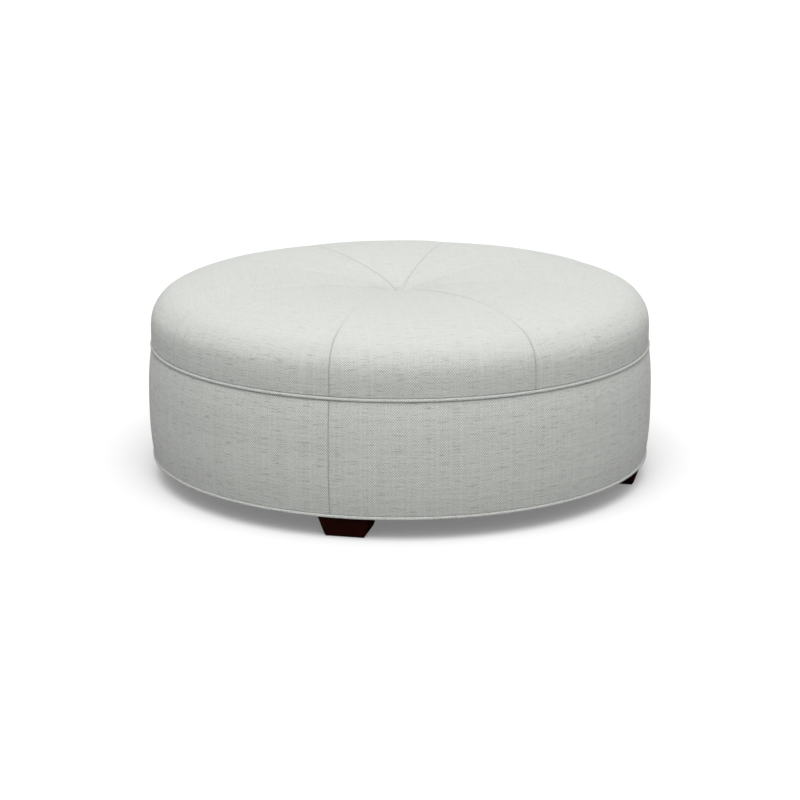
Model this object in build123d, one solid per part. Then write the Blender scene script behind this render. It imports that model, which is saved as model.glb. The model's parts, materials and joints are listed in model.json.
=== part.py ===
from build123d import *

import math
import os

# A large round ottoman: an upholstered drum on four tapered block feet. Its crown is sewn from
# eight gores and pulled down at the centre by a twine tied off under the plywood deck.
# The origin is on the floor below the centre, +Z is up and the front foot stands on -Y.
# Lengths are in millimetres, angles in degrees, and a height is measured up from the floor.

# Counts and turns
foot_count = 4
gore_count = 8
panel_count = 4
full_turn = 360.0
cover_turn = -2.7
seams_from_front = -90.0

# Clearances
wrap_gap = 0.3
slip_gap = 0.2
hole_gap = 0.1
seam_gap = 0.8
board_gap = 1.0
cut_overrun = 5.0

# Whole body: half its width at the welts, over the cover
body_radius = 526.0

# Feet: tapered hardwood blocks on square felt pads
foot_inset = 40.0
foot_base_width = 81.0
foot_top_width = 104.0
foot_height = 40.7
foot_edge = 2.0
pad_width = 77.0
pad_thickness = 2.0

# Fixing of the feet: a hanger bolt through the base with a nut on top
bolt_radius = 4.0
bolt_in_foot = 28.0
bolt_above_nut = 4.0
bolt_sides = 12
nut_width = 13.0
nut_height = 6.5
nut_sides = 6

# Frame: two plywood discs held apart by half-lapped ribs, which stand in grooves
panel_thickness = 18.0
rib_height = 198.7
rib_thickness = 15.0
rib_spread = 300.0
groove_depth = 4.0
stud_width = 45.0
stud_depth = 30.0
side_board_thickness = 3.2

# Sides: fibre-backed cover panels over the boards, swollen between the welts
band_thickness = 14.2
band_swell = 7.1
band_swell_band = 90.0

# Welts and thin cloth
cloth_thickness = 0.8
welt_radius = 3.5
welt_flat = 2.9
welt_outset = 2.2
flange_width = 20.0

# Crown: two foam slabs on the deck under gores that are filled with fibre
crown_height = 135.1
crest_radius = 300.0
dimple_depth = 36.6
foam_margin = 4.2
core_foam_share = 0.625

# Tuft: the gathered seam ends, the twine and the toggle that holds it
tuft_radius = 8.0
gather_height = 12.0
gather_taper = 12.0
twine_radius = 1.5
twine_sides = 6
twine_hole_radius = 3.0
knot_radius = 4.0
knot_height = 6.0
toggle_length = 60.0
toggle_width = 16.0
toggle_thickness = 6.0

# Outline of the crown from its seam to its crest: shares of body_radius and of crown_height
crown_shares = (
    (0.9985, 0.0),
    (0.9985, 0.36),
    (0.987, 0.61),
    (0.945, 0.8),
    (0.74, 1.0),
)

# Outline of the dimple from its crest to the tuft: shares of crest_radius and of dimple_depth
dimple_shares = (
    (1.0, 0.0),
    (0.55, 0.22),
    (0.22, 0.7),
)

# Levels, worked out from the floor up
foot_top = pad_thickness + foot_height
base_level = foot_top + cloth_thickness
base_top = base_level + panel_thickness
deck_level = base_top + rib_height
deck_top = deck_level + panel_thickness
bottom_welt_level = foot_top + welt_radius
top_welt_level = deck_top + welt_radius
band_bottom = bottom_welt_level + welt_radius + wrap_gap
band_top = deck_top - wrap_gap
crown_seam = top_welt_level + welt_radius + wrap_gap
crown_top = crown_seam + crown_height
tuft_level = crown_top - dimple_depth
foam_top = tuft_level - gather_height
core_foam_top = deck_top + core_foam_share * (foam_top - deck_top)
toggle_bottom = deck_level - toggle_thickness

# Radii, worked out from the cover inwards
band_inner_radius = body_radius - band_thickness
board_radius = band_inner_radius - wrap_gap
frame_radius = board_radius - side_board_thickness - wrap_gap
foot_orbit = frame_radius - foot_inset
welt_ring_radius = body_radius + welt_outset - welt_radius
flange_inner_radius = welt_ring_radius - flange_width
foam_radius = flange_inner_radius - foam_margin
gore_wall_radius = foam_radius + wrap_gap

# Places in the frame
rib_offset = rib_spread / 2
rib_reach = math.sqrt(frame_radius**2 - (rib_offset + rib_thickness / 2) ** 2)
rib_bottom = base_top - groove_depth
rib_full_height = rib_height + 2 * groove_depth
groove_width = rib_thickness + 2 * slip_gap
stud_reach = math.sqrt(frame_radius**2 - (stud_width / 2) ** 2)
quarter_turn = full_turn / panel_count
corner_turn = quarter_turn / 2

UPRIGHT = (Align.CENTER, Align.CENTER, Align.MIN)


def turned(shape, degrees):
    """The shape turned about the ottoman's axis."""
    return Rot(0, 0, degrees) * shape


def arc_angle(length, radius):
    """The angle that a length takes up on a circle."""
    return math.degrees(length / radius)


def disc(radius, bottom, height):
    """An upright cylinder on the axis, from its lower level."""
    return Pos(0, 0, bottom) * Cylinder(radius, height, align=UPRIGHT)


def prism(radius, sides, bottom, height):
    """An upright prism on the axis, from its lower level: small round things drawn with few sides."""
    return extrude(Pos(0, 0, bottom) * RegularPolygon(radius, sides), amount=height)


def slab(width, depth, bottom, height):
    """A level block on the axis, from its lower level."""
    return Pos(0, 0, bottom) * Box(width, depth, height, align=UPRIGHT)


def side_face(outline):
    """A face in the XZ plane from points of radius and height."""
    return Plane.XZ * make_face(Polyline(*outline, close=True).edges())


def sector(face, start, sweep):
    """The face turned about the axis from one angle through a sweep."""
    return turned(revolve(face, Axis.Z, sweep), start)


def wall_outline(inner, outer, bottom, top):
    """The outline of a straight wall between two radii."""
    return ((inner, bottom), (outer, bottom), (outer, top), (inner, top))


def at_each_foot(shape):
    """Copies of a shape made over the origin, one over each foot."""
    copies = []
    for index in range(foot_count):
        angle = seams_from_front + index * full_turn / foot_count
        copies.append(turned(Pos(foot_orbit, 0, 0) * shape, angle))
    return copies


# Feet and their fixings


def eased_square(width, level):
    """The points of a level square with eased corners."""
    outer = width / 2
    inner = outer - foot_edge
    points = []
    for side in (-1, 1):
        for end in (-1, 1):
            points.append((side * outer, end * inner, level))
            points.append((side * inner, end * outer, level))
    return points


def foot():
    """One foot over the origin: a block that widens upwards, with eased corners and a bolt bore."""
    base = eased_square(foot_base_width, pad_thickness)
    seat = eased_square(foot_top_width, foot_top)
    depth = bolt_in_foot + hole_gap
    bore = prism(bolt_radius + hole_gap, bolt_sides, foot_top - depth, depth + cut_overrun)
    return ConvexPolyhedron(base + seat) - bore


def foot_pad():
    """One felt pad over the origin, which the foot stands on."""
    return slab(pad_width, pad_width, 0, pad_thickness)


def hanger_bolt():
    """One hanger bolt over the origin, from the foot's bore to above the nut."""
    length = bolt_in_foot + base_top - foot_top + nut_height + bolt_above_nut
    return prism(bolt_radius, bolt_sides, foot_top - bolt_in_foot, length)


def foot_nut():
    """One hexagonal nut over the origin, on top of the base panel."""
    outer_radius = nut_width / 2 / math.cos(math.pi / nut_sides)
    block = prism(outer_radius, nut_sides, base_top, nut_height)
    through = nut_height + 2 * cut_overrun
    return block - prism(bolt_radius + hole_gap, bolt_sides, base_top - cut_overrun, through)


def dust_cover():
    """The thin cloth under the base, inside the lower welt's flange, pierced for the bolts."""
    cover = disc(flange_inner_radius - wrap_gap, foot_top, cloth_thickness)
    hole = prism(bolt_radius + hole_gap, bolt_sides, foot_top - cut_overrun, 2 * cut_overrun)
    for cut in at_each_foot(hole):
        cover -= cut
    return cover


# Frame


def grooves(level):
    """The four crossing grooves for the ribs, as cutting blocks from a level upwards."""
    block = slab(2 * (frame_radius + cut_overrun), groove_width, level, groove_depth)
    blocks = []
    for side in (-rib_offset, rib_offset):
        along_x = Pos(0, side, 0) * block
        blocks.append(along_x)
        blocks.append(turned(along_x, quarter_turn))
    return blocks


def base_panel():
    """The plywood base: a disc grooved on top and bored for the hanger bolts."""
    panel = disc(frame_radius, base_level, panel_thickness)
    for cut in grooves(base_top - groove_depth):
        panel -= cut
    through = panel_thickness + 2 * cut_overrun
    hole = prism(bolt_radius + hole_gap, bolt_sides, base_level - cut_overrun, through)
    for cut in at_each_foot(hole):
        panel -= cut
    return panel


def deck_panel():
    """The plywood deck: a disc grooved below, with the twine's hole at its centre."""
    panel = disc(frame_radius, deck_level, panel_thickness)
    for cut in grooves(deck_level):
        panel -= cut
    return panel - twine_hole(deck_level, panel_thickness)


def rib(slots_on_top):
    """One rib along X over the axis: a board with two half-lap slots."""
    board = slab(2 * rib_reach, rib_thickness, rib_bottom, rib_full_height)
    middle = rib_bottom + rib_full_height / 2
    slot_level = middle if slots_on_top else middle - rib_full_height
    slot = slab(groove_width, rib_thickness + 2 * cut_overrun, slot_level, rib_full_height)
    for place in (-rib_offset, rib_offset):
        board -= Pos(place, 0, 0) * slot
    return board


def rim_stud(index):
    """One upright timber at the rim, which the side board is stapled to."""
    timber = Box(stud_depth, stud_width, rib_height, align=(Align.MAX, Align.CENTER, Align.MIN))
    return turned(Pos(stud_reach, 0, base_top) * timber, corner_turn + index * quarter_turn)


def side_board():
    """The thin board bent round the frame, its ends butted on one of the rim studs."""
    face = side_face(wall_outline(frame_radius + wrap_gap, board_radius, base_level, deck_top))
    gap = arc_angle(board_gap, board_radius)
    return sector(face, corner_turn + gap / 2, full_turn - gap)


# Sides


def band_panel(index):
    """One fibre-backed cover panel of the band, swollen between the welts, seam to seam."""
    middle = (band_bottom + band_top) / 2
    swollen = body_radius + band_swell
    outline = (
        (band_inner_radius, band_bottom),
        (body_radius, band_bottom),
        (swollen, middle - band_swell_band / 2),
        (swollen, middle + band_swell_band / 2),
        (body_radius, band_top),
        (band_inner_radius, band_top),
    )
    gap = arc_angle(seam_gap, body_radius)
    start = seams_from_front + cover_turn + index * quarter_turn
    return sector(side_face(outline), start + gap / 2, quarter_turn - gap)


def welt(level):
    """One welt round the drum: a corded tube drawn in to a flat flange, which the frame holds."""
    half_flat = welt_flat / 2
    flange_top = level - welt_radius + cloth_thickness
    outline = (
        (flange_inner_radius, level - welt_radius),
        (welt_ring_radius + half_flat, level - welt_radius),
        (welt_ring_radius + welt_radius, level - half_flat),
        (welt_ring_radius + welt_radius, level + half_flat),
        (welt_ring_radius, level + welt_radius),
        (welt_ring_radius - welt_radius, flange_top),
        (flange_inner_radius, flange_top),
    )
    return sector(side_face(outline), 0, full_turn)


# Crown


def twine_hole(bottom, height):
    """The cut that lets the twine through a layer."""
    return prism(twine_hole_radius, twine_sides, bottom - cut_overrun, height + 2 * cut_overrun)


def foam_slab(bottom, top):
    """One round foam slab, bored for the twine."""
    return disc(foam_radius, bottom, top - bottom) - twine_hole(bottom, top - bottom)


def gore_outline():
    """The section of a gore: the crown's line down to the tuft, then back along the foam."""
    points = []
    for radius_share, height_share in crown_shares:
        points.append((body_radius * radius_share, crown_seam + crown_height * height_share))
    for radius_share, depth_share in dimple_shares:
        points.append((crest_radius * radius_share, crown_top - dimple_depth * depth_share))
    points.append((tuft_radius, tuft_level))
    points.append((tuft_radius, foam_top + wrap_gap))
    points.append((gore_wall_radius, foam_top + wrap_gap))
    points.append((gore_wall_radius, crown_seam))
    return points


def crown_gore(index):
    """One wedge of the crown cover with its fibre filling, seam to seam."""
    pitch = full_turn / gore_count
    gap = arc_angle(seam_gap, body_radius)
    start = seams_from_front + cover_turn + index * pitch
    return sector(side_face(gore_outline()), start + gap / 2, pitch - gap)


# Tuft


def tuft_gather():
    """The bunched seam ends between the gores' tips, on the foam."""
    seams = RegularPolygon(tuft_radius - wrap_gap, gore_count, rotation=cover_turn)
    bunch = Pos(0, 0, foam_top) * seams
    return extrude(bunch, amount=gather_height, taper=gather_taper)


def tuft_twine():
    """The twine from the gathered seams down through foam, deck and toggle to its knot."""
    strand = prism(twine_radius, twine_sides, toggle_bottom, foam_top - toggle_bottom)
    return strand + prism(knot_radius, twine_sides, toggle_bottom - knot_height, knot_height)


def tuft_toggle():
    """The wooden slat under the deck that the twine is tied off on."""
    slat = slab(toggle_length, toggle_width, toggle_bottom, toggle_thickness)
    return slat - twine_hole(toggle_bottom, toggle_thickness)


def model():
    """Every sub-part by its name."""
    parts = {
        "dust_cover": dust_cover(),
        "base_panel": base_panel(),
        "deck_panel": deck_panel(),
        "rib_front": Pos(0, -rib_offset, 0) * rib(True),
        "rib_back": Pos(0, rib_offset, 0) * rib(True),
        "rib_left": Pos(-rib_offset, 0, 0) * turned(rib(False), quarter_turn),
        "rib_right": Pos(rib_offset, 0, 0) * turned(rib(False), quarter_turn),
        "side_board": side_board(),
        "bottom_welt": welt(bottom_welt_level),
        "top_welt": welt(top_welt_level),
        "crown_core_foam": foam_slab(deck_top, core_foam_top),
        "crown_top_foam": foam_slab(core_foam_top, foam_top),
        "tuft_gather": tuft_gather(),
        "tuft_twine": tuft_twine(),
        "tuft_toggle": tuft_toggle(),
        "foot_pads": Compound(children=at_each_foot(foot_pad())),
        "hanger_bolts": Compound(children=at_each_foot(hanger_bolt())),
        "foot_nuts": Compound(children=at_each_foot(foot_nut())),
    }
    for name, block in zip(("front", "right", "back", "left"), at_each_foot(foot())):
        parts[f"foot_{name}"] = block
    for index in range(panel_count):
        parts[f"rim_stud_{index + 1}"] = rim_stud(index)
        parts[f"band_panel_{index + 1}"] = band_panel(index)
    for index in range(gore_count):
        parts[f"crown_gore_{index + 1}"] = crown_gore(index)
    return parts


os.makedirs("parts", exist_ok=True)
for name, shape in model().items():
    export_step(shape, f"parts/{name}.step")
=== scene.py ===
"""Looks of a round ottoman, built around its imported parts.

Lengths are in metres and angles in radians, unless a name or a comment says degrees.
"""

import json
import logging
import math
from dataclasses import dataclass, field
from enum import Enum

import bpy
import numpy as np
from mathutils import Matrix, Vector


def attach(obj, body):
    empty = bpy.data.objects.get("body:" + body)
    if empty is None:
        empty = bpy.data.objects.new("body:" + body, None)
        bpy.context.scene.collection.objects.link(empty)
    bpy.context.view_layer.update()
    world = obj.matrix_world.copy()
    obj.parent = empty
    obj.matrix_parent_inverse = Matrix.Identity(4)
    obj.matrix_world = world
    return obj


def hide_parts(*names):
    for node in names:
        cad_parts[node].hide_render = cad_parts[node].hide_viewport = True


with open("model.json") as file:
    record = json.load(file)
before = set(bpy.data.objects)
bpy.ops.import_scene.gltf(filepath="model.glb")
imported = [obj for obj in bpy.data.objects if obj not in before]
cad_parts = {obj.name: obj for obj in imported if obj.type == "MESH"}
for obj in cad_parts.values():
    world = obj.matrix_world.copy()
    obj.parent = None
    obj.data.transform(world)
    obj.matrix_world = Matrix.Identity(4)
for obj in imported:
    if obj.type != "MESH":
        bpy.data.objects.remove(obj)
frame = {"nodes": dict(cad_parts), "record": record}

Array = np.ndarray
Piece = bpy.types.Object
Material = bpy.types.Material
Node = bpy.types.Node
Socket = bpy.types.NodeSocket
Colour = tuple[float, float, float]
Marks = dict[str, Array]

BODY = "root"
TINY = 1e-9  # keeps a division away from zero
log = logging.getLogger("ottoman")


class Slot(Enum):
    """The record's material slots."""

    COVER = "cover_cloth"
    FOOT = "foot_wood"
    PLYWOOD = "plywood"
    BOARD = "fibreboard"
    PINE = "softwood"
    FOAM = "foam"
    STEEL = "steel"
    FELT = "felt"
    TWINE = "twine"
    DUST = "dust_cloth"


class Edge(Enum):
    """How a grid's two ends meet along one of its directions."""

    OPEN = 0
    JOINED = 1


# Lines and meshes


def smooth_line(knots: Array, size_of_step: float) -> Array:
    """A smooth line through points.

    Formula: a natural cubic spline over the running chord length, sampled at small steps.

    Args:
        knots: the points, one row each.
        size_of_step: the chord length from one point of the line to the next.

    Returns:
        The line's points, one row each.
    """
    chord = run_length(knots)
    step = np.diff(chord)
    size = len(knots)
    matrix = np.eye(size)
    right = np.zeros_like(knots)
    inner = np.arange(1, size - 1)
    matrix[inner, inner - 1] = step[:-1]
    matrix[inner, inner] = 2 * (step[:-1] + step[1:])
    matrix[inner, inner + 1] = step[1:]
    slope = np.diff(knots, axis=0) / step[:, None]
    right[1:-1] = 6 * np.diff(slope, axis=0)
    bend = np.linalg.solve(matrix, right)
    dense = np.linspace(0, chord[-1], int(chord[-1] / size_of_step) + 1)
    low = np.clip(np.searchsorted(chord, dense, side="right") - 1, 0, size - 2)
    span = step[low][:, None]
    before = (chord[low + 1] - dense)[:, None]
    after = (dense - chord[low])[:, None]
    line = (bend[low] * before**3 + bend[low + 1] * after**3) / (6 * span)
    line += (knots[low] / span - bend[low] * span / 6) * before
    return line + (knots[low + 1] / span - bend[low + 1] * span / 6) * after


def even_line(line: Array, count: int, extra: float = 0.0, fade: float = 0.01) -> Array:
    """The same line with its points spread anew.

    Formula: equal steps of the length plus extra times one less exp(-length / fade), so that the
    points lie closer at the start.

    Args:
        line: the points of a line, one row each.
        count: how many points the new line gets.
        extra: the length that the closer points at the start stand for.
        fade: how soon they thin out.

    Returns:
        The new points, count rows.
    """
    walked = run_length(line)
    walked = walked + extra * (1 - np.exp(-walked / fade))
    places = np.linspace(0, walked[-1], count)
    return np.stack([np.interp(places, walked, axis) for axis in line.T], axis=1)


def run_length(line: Array) -> Array:
    """The length walked along a line up to each of its points."""
    return np.concatenate([[0.0], np.cumsum(np.linalg.norm(np.diff(line, axis=0), axis=1))])


def outward(line: Array) -> Array:
    """The unit normals of a line of radius and height.

    Formula: the direction turned by a right angle to its right, so (dr, dz) gives (dz, -dr).

    Args:
        line: the points of radius and height.

    Returns:
        One unit normal for each point.
    """
    along = np.gradient(line, axis=0)
    normal = np.stack([along[:, 1], -along[:, 0]], axis=1)
    return normal / np.linalg.norm(normal, axis=1, keepdims=True)


def around(radius: Array, height: Array, angle: Array) -> Array:
    """Points round the axis: radius times the angle's cosine and sine, and the height."""
    radius, height, angle = np.broadcast_arrays(radius, height, angle)
    return np.stack([radius * np.cos(angle), radius * np.sin(angle), height], axis=-1)


def pairs(first: Array, second: Array) -> Array:
    """Two values side by side for each point, such as a pair of coordinates."""
    return np.stack(np.broadcast_arrays(first, second), axis=-1)


def smooth_step(value: Array, low: float, high: float) -> Array:
    """Three t squared less two t cubed, with t running from 0 at low to 1 at high."""
    share = np.clip((value - low) / (high - low), 0, 1)
    return share * share * (3 - 2 * share)


def bell(distance: Array, width: float) -> Array:
    """A bell curve: exp of less the square of the distance over the width."""
    return np.exp(-((distance / width) ** 2))


def full_turn(steps: int) -> Array:
    """Even steps round a circle, without its last point."""
    return np.linspace(0, 2 * math.pi, steps, endpoint=False)


def grid_quads(rows: int, columns: int, rows_meet: Edge, columns_meet: Edge) -> Array:
    """The four corners of every face of a grid of points numbered row by row.

    Args:
        rows: how many rows of points there are.
        columns: how many points each row has.
        rows_meet: whether the last row joins the first.
        columns_meet: whether the last column joins the first.

    Returns:
        One row of four point numbers for each face.
    """
    row = np.arange(rows - 1 + rows_meet.value)[:, None]
    column = np.arange(columns - 1 + columns_meet.value)[None, :]
    next_row = (row + 1) % rows
    next_column = (column + 1) % columns
    corners = [
        row * columns + column,
        row * columns + next_column,
        next_row * columns + next_column,
        next_row * columns + column,
    ]
    return np.stack(corners, axis=-1).reshape(-1, 4)


@dataclass
class Sheet:
    """A grid of points, and marks on it by name: pairs of coordinates or single values."""

    points: Array
    marks: Marks


def shell(outer: Sheet, inner: Array) -> tuple[Array, Array, Marks]:
    """A closed shell between two grids of the same size.

    Formula: the outer grid's faces, the inner grid's faces turned over, and one strip of faces
    along each of the four edges, which joins outer and inner points of the same number.

    Args:
        outer: the grid that shows.
        inner: the grid behind it, point for point.

    Returns:
        Points, faces and marks.
    """
    rows, columns = outer.points.shape[:2]
    face = grid_quads(rows, columns, Edge.OPEN, Edge.OPEN)
    count = rows * columns
    number = np.arange(count).reshape(rows, columns)
    rim = np.concatenate([number[0, :-1], number[:-1, -1], number[-1, :0:-1], number[:0:-1, 0]])
    after = np.roll(rim, -1)
    strip = np.stack([rim + count, after + count, after, rim], axis=1)
    faces = np.concatenate([face, face[:, ::-1] + count, strip])
    points = np.concatenate([outer.points.reshape(-1, 3), inner.reshape(-1, 3)])
    marks = {
        title: np.tile(values.reshape(count, -1), (2, 1)) for title, values in outer.marks.items()
    }
    return points, faces, marks


def make_piece(
    name: str, points: Array, faces: Array | list[list[int]], marks: Marks | None = None
) -> Piece:
    """A smooth-shaded object at the origin, with its place in its mesh.

    Args:
        name: the piece's name.
        points: its points.
        faces: the point numbers of its faces.
        marks: values at its points by name. Pairs become a UV layer, single values an attribute.

    Returns:
        The new object, linked to the scene.
    """
    mesh = bpy.data.meshes.new(name)
    mesh.from_pydata(points.tolist(), [], faces if isinstance(faces, list) else faces.tolist())
    corner = np.empty(len(mesh.loops), dtype=np.int32)
    mesh.loops.foreach_get("vertex_index", corner)
    for title, values in (marks or {}).items():
        if values.shape[1] == 2:
            layer = mesh.uv_layers.new(name=title)
            layer.data.foreach_set("uv", values[corner].astype(np.float32).ravel())
        else:
            layer = mesh.attributes.new(title, "FLOAT", "POINT")
            layer.data.foreach_set("value", values.astype(np.float32).ravel())
    mesh.polygons.foreach_set("use_smooth", np.ones(len(mesh.polygons), dtype=bool))
    mesh.update()
    piece = bpy.data.objects.new(name, mesh)
    bpy.context.scene.collection.objects.link(piece)
    return piece


def refine(piece: Piece) -> None:
    """Gives a piece one level of subdivision, in view and in the render alike."""
    modifier = piece.modifiers.new("Subdivision", "SUBSURF")
    modifier.levels = modifier.render_levels = 1


def settle(piece: Piece, stands_for: tuple[str, ...], material: Material) -> None:
    """Dresses a finished piece, fixes it to the body and reports it.

    Args:
        piece: the finished object.
        stands_for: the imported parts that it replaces.
        material: what it is made of.
    """
    piece.data.materials.clear()
    piece.data.materials.append(material)
    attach(piece, BODY)
    if stands_for:
        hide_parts(*stands_for)
    replaced = ", ".join(stands_for) or "no part"
    log.info("%s: %d points, stands for %s", piece.name, len(piece.data.vertices), replaced)


# Filling and sewing


@dataclass(frozen=True)
class Filling:
    """How hard the filling presses a cover out, and how far it may move it."""

    pressure: float = 4.0
    frames: int = 20
    reach: float = 0.0015
    stretch: float = 40.0
    bending: float = 4.0
    quality: int = 6

    def press(self, points: Array, faces: Array, held: Array) -> Array:
        """Swells a closed cover with Blender's cloth, with its sewn edges held.

        Formula: each point's way from rest is cut to reach times the hyperbolic tangent of its
        share of reach, so none moves further.

        Args:
            points: the cover's points at rest.
            faces: its faces.
            held: how firmly each point is held, from 0 to 1.

        Returns:
            The points after the last frame.
        """
        piece = make_piece("cover_in_the_press", points, faces)
        group = piece.vertex_groups.new(name="held")
        for weight in np.unique(held):
            group.add(np.flatnonzero(held == weight).tolist(), float(weight), "REPLACE")
        cloth = piece.modifiers.new("Cloth", "CLOTH")
        settings = cloth.settings
        settings.vertex_group_mass = group.name
        settings.use_pressure = True
        settings.uniform_pressure_force = self.pressure
        settings.effector_weights.gravity = 0.0
        settings.tension_stiffness = settings.compression_stiffness = self.stretch
        settings.shear_stiffness = self.stretch
        settings.bending_stiffness = self.bending
        settings.quality = self.quality
        cloth.point_cache.frame_start = 1
        cloth.point_cache.frame_end = self.frames
        scene = bpy.context.scene
        for number in range(1, self.frames + 1):
            scene.frame_set(number)
        evaluated = piece.evaluated_get(bpy.context.evaluated_depsgraph_get())
        moved = np.empty(points.size, dtype=np.float32)
        evaluated.data.vertices.foreach_get("co", moved)
        mesh = piece.data
        bpy.data.objects.remove(piece)
        bpy.data.meshes.remove(mesh)
        scene.frame_set(1)
        way = moved.reshape(-1, 3) - points
        far = np.linalg.norm(way, axis=1, keepdims=True)
        log.info("the filling moved the cover by %.1f mm before the cut", far.max() * 1000)
        return points + way * np.tanh(far / self.reach) * self.reach / np.maximum(far, TINY)


@dataclass(frozen=True)
class HandWork:
    """Small unevenness of hand-laid fibre and hand-sewn cloth: long waves with fixed phases."""

    depth: float
    seed: int
    waves: int = 9
    shortest: float = 0.09
    longest: float = 0.42

    def at(self, points: Array) -> Array:
        """The offset at each point.

        Formula: the mean of sines of the place along random directions, each with its own
        wavelength and phase, times the depth and the root of their number.

        Args:
            points: the places.

        Returns:
            One offset for each place.
        """
        draw = np.random.default_rng(self.seed)
        way = draw.normal(size=(self.waves, 3))
        way /= np.linalg.norm(way, axis=1, keepdims=True)
        length = draw.uniform(self.shortest, self.longest, self.waves)
        phase = draw.uniform(0, 2 * math.pi, self.waves)
        place = points @ (way * (2 * math.pi / length[:, None])).T
        return self.depth * np.sin(place + phase).mean(axis=-1) * math.sqrt(self.waves)


@dataclass(frozen=True)
class SewnEdge:
    """How cloth turns in at a sewn edge: a small roll, then straight down into the seam."""

    radius: float = 0.0009
    gap: float = 0.00005
    offsets: tuple[float, ...] = (0.0, 0.00008, 0.0003, 0.0006, 0.0010, 0.0024, 0.006)

    def fit(self, wide: Array) -> Array:
        """How much the offsets are shortened in a strip whose half width, less the gap, is wide."""
        return np.minimum(1.0, 0.5 * wide / self.offsets[-1])

    def columns(self, half_width: Array, inner: int) -> Array:
        """Places across a strip whose half width changes from row to row.

        Formula: the offsets from each edge, shortened where the strip is too narrow for them,
        with even steps between the last offset of one side and that of the other.

        Args:
            half_width: half the strip's width in each row, as a column.
            inner: how many even steps lie between the edges' own columns.

        Returns:
            One row of signed distances from the strip's middle for each row.
        """
        wide = half_width - self.gap
        left = -wide + np.asarray(self.offsets)[None, :] * self.fit(wide)
        even = np.linspace(-1, 1, inner + 1)[None, 1:-1] * -left[:, -1:]
        return np.concatenate([left, even, -left[:, ::-1]], axis=1)

    def drop(self, distance: Array, fit: Array) -> Array:
        """How deep the roll is at a distance from the edge.

        Formula: a quarter circle of the roll's radius, which starts at the edge.

        Args:
            distance: the distance from the edge.
            fit: the share of the roll's radius that is used.

        Returns:
            The depths.
        """
        radius = self.radius * fit
        inside = np.clip(radius - distance, 0, radius)
        return radius - np.sqrt(np.maximum(radius**2 - inside**2, 0))


# Sub-assemblies


@dataclass
class SewnCovers:
    """Padded covers side by side round the axis, sewn to each other at their edges."""

    material: Material
    cover_name: str = "cover"
    part_name: str = "part"
    count: int = 1
    first_seam: float = math.radians(-92.7)
    inner_steps: int = 24
    # The width of the painted shade along each seam.
    painted_shade_width: float = 0.0016
    held_margins: tuple[int, int, int] = (6, 6, 6)  # first rows, last rows, columns at each side
    edge: SewnEdge = field(default_factory=SewnEdge)
    filling: Filling = field(default_factory=Filling)

    def middle(self, index: int) -> float:
        """The angle of one cover's middle line."""
        return self.first_seam + (index + 0.5) * 2 * math.pi / self.count

    def sheet(self, index: int) -> tuple[Sheet, Array]:
        """One cover's cloth and the points behind it."""
        raise NotImplementedError

    def held(self, sheet: Sheet) -> Array:
        """How firmly each point is held while the filling presses.

        Args:
            sheet: the cover's cloth.

        Returns:
            1 along the edges and on the back, and 0 between.
        """
        first, last, side = self.held_margins
        front = np.ones(sheet.points.shape[:2])
        front[first:-last, side:-side] = 0.0
        return np.concatenate([front.ravel(), np.ones(front.size)])

    def build(self) -> None:
        """Makes, swells and dresses the covers."""
        for index in range(self.count):
            sheet, inner = self.sheet(index)
            points, faces, marks = shell(sheet, inner)
            points = self.filling.press(points, faces, self.held(sheet))
            piece = make_piece(f"{self.cover_name}_{index + 1}", points, faces, marks)
            refine(piece)
            settle(piece, (f"{self.part_name}_{index + 1}",), self.material)


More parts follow.
